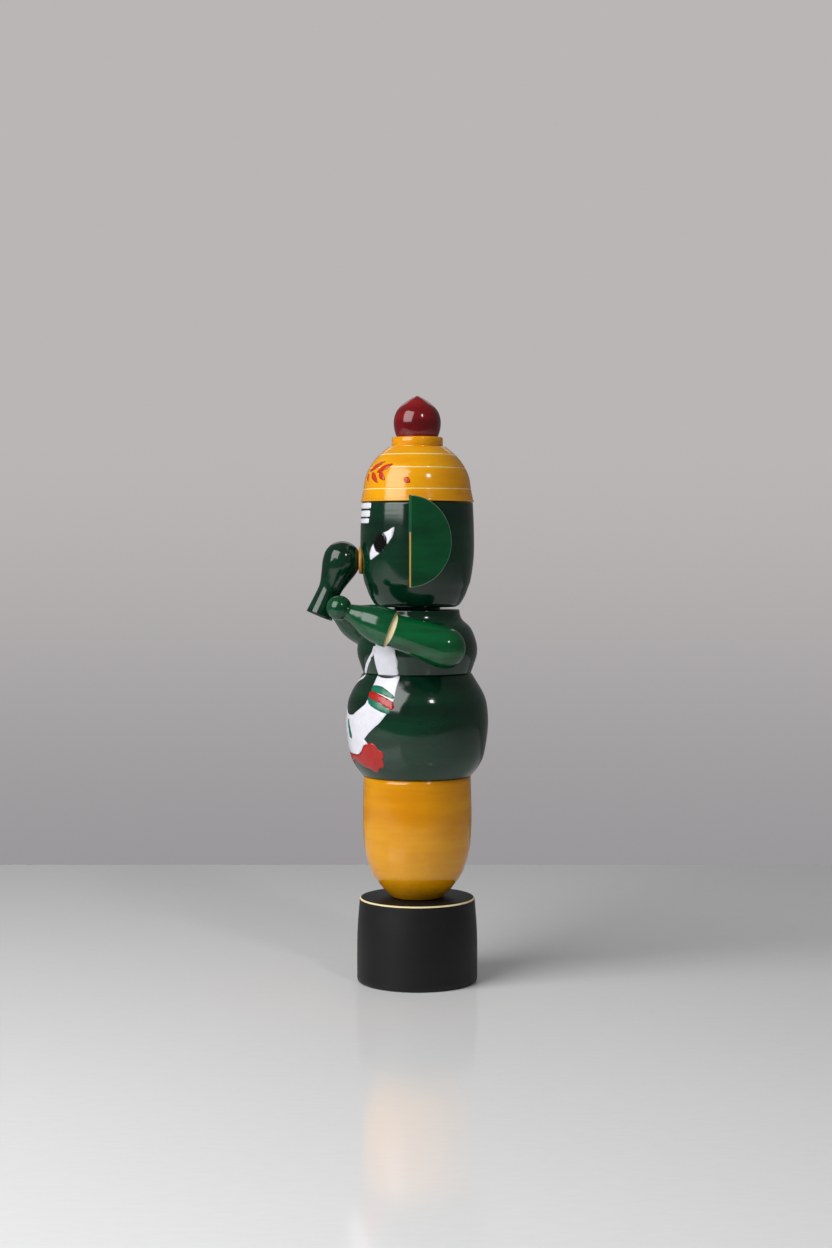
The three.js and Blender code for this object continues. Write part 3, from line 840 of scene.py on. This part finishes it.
# Camera: level with the ears, a little in front of the figure's left side
CAMERA_AZIMUTH = math.radians(79)
CAMERA_PITCH = math.radians(2.345)
CAMERA_DISTANCE = 0.8582
CAMERA_HEIGHT = 0.1881
CAMERA_LENS = 58.1
CAMERA_SHIFT = -0.001
TO_CAMERA = Vector((math.sin(CAMERA_AZIMUTH), -math.cos(CAMERA_AZIMUTH), 0))
TO_IMAGE_LEFT = Vector((-math.cos(CAMERA_AZIMUTH), -math.sin(CAMERA_AZIMUTH), 0))


def set_camera():
    data = bpy.data.cameras.new("camera")
    data.lens = CAMERA_LENS
    data.shift_x = CAMERA_SHIFT
    camera = bpy.data.objects.new("camera", data)
    camera.location = TO_CAMERA * CAMERA_DISTANCE + UP * CAMERA_HEIGHT
    camera.rotation_euler = (math.pi / 2 - CAMERA_PITCH, 0, CAMERA_AZIMUTH)
    bpy.context.scene.collection.objects.link(camera)
    bpy.context.scene.camera = camera


# Lights: degrees from the camera towards image left, degrees up, distance, width and height in m, and watts
LIGHTS = {
    "softbox": (49, 30, 0.9, 0.72, 0.8, 10),
    "small_lamp": (-27, 33, 1.0, 0.09, 0.12, 1.3),
    "back_fill": (180, 35, 1.1, 0.8, 0.5, 1),
}


def set_light(name, azimuth, elevation, distance, width, height, watts):
    """A soft rectangular light that points at the head."""
    swing = math.radians(azimuth)
    rise = math.radians(elevation)
    level = TO_CAMERA * math.cos(swing) + TO_IMAGE_LEFT * math.sin(swing)
    away = (level * math.cos(rise) + UP * math.sin(rise)) * distance
    data = bpy.data.lights.new(name, "AREA")
    data.shape = "RECTANGLE"
    data.size = width
    data.size_y = height
    data.energy = watts
    lamp = bpy.data.objects.new(name, data)
    lamp.location = UP * CAMERA_HEIGHT + away
    lamp.rotation_euler = away.to_track_quat("Z", "Y").to_euler()
    bpy.context.scene.collection.objects.link(lamp)


# Table: a glossy white board whose straight back edge lies behind the figure, sizes in m
TABLE_BACK = 0.308
TABLE_FRONT = 0.4
TABLE_WIDTH = 2.4
TABLE_MOTTLE = 300


def table_board():
    """Smooth white board with a faint mottle that breaks up its shine."""
    material, tree, shader, _ = new_material("smooth white table board")
    mottle = add(tree, "ShaderNodeTexNoise", {"Scale": TABLE_MOTTLE, "Detail": 2})
    tone = add(tree, "ShaderNodeMix", {"data_type": "RGBA", 6: colour("#f6f6f6"), 7: colour("#f0f0f1")},
               [(0, mottle.outputs["Fac"])])
    tree.links.new(tone.outputs[2], shader.inputs["Base Color"])
    shader.inputs["Roughness"].default_value = 0.1
    return material


def set_table():
    middle = TO_CAMERA * (TABLE_FRONT - TABLE_BACK) / 2
    bpy.ops.mesh.primitive_plane_add(size=1, location=middle, rotation=(0, 0, CAMERA_AZIMUTH))
    table = bpy.context.object
    table.name = "table_top"
    table.scale = (TABLE_WIDTH, TABLE_FRONT + TABLE_BACK, 1)
    table.data.materials.append(table_board())


# Room: a grey wall to the camera, paler towards the top, and a dim even light on the figure
WALL_LOW = "#9a979a"
WALL_HIGH = "#bab6b5"
WALL_LOW_AT = -0.18
WALL_HIGH_AT = 0.06
ROOM_LIGHT = 0.15


def set_room():
    world = bpy.data.worlds.new("room")
    bpy.context.scene.world = world
    world.use_nodes = True
    tree = world.node_tree
    tree.nodes.clear()
    way = add(tree, "ShaderNodeTexCoord", {})
    upward = add(tree, "ShaderNodeSeparateXYZ", {}, [(0, way.outputs["Generated"])])
    rise = add(tree, "ShaderNodeMapRange",
               {"From Min": WALL_LOW_AT, "From Max": WALL_HIGH_AT, "interpolation_type": "SMOOTHSTEP"},
               [("Value", upward.outputs["Z"])])
    wall = add(tree, "ShaderNodeMix", {"data_type": "RGBA", 6: colour(WALL_LOW), 7: colour(WALL_HIGH)},
               [(0, rise.outputs[0])])
    seen = add(tree, "ShaderNodeBackground", {"Strength": 1}, [("Color", wall.outputs[2])])
    lit = add(tree, "ShaderNodeBackground", {"Color": (1, 1, 1, 1), "Strength": ROOM_LIGHT})
    rays = add(tree, "ShaderNodeLightPath", {})
    either = add(tree, "ShaderNodeMixShader", {},
                 [(0, rays.outputs["Is Camera Ray"]), (1, lit.outputs[0]), (2, seen.outputs[0])])
    add(tree, "ShaderNodeOutputWorld", {}, [("Surface", either.outputs[0])])


set_camera()
for name, settings in LIGHTS.items():
    set_light(name, *settings)
set_table()
set_room()
bpy.context.scene.view_settings.view_transform = "Standard"

bpy.context.view_layer.update()
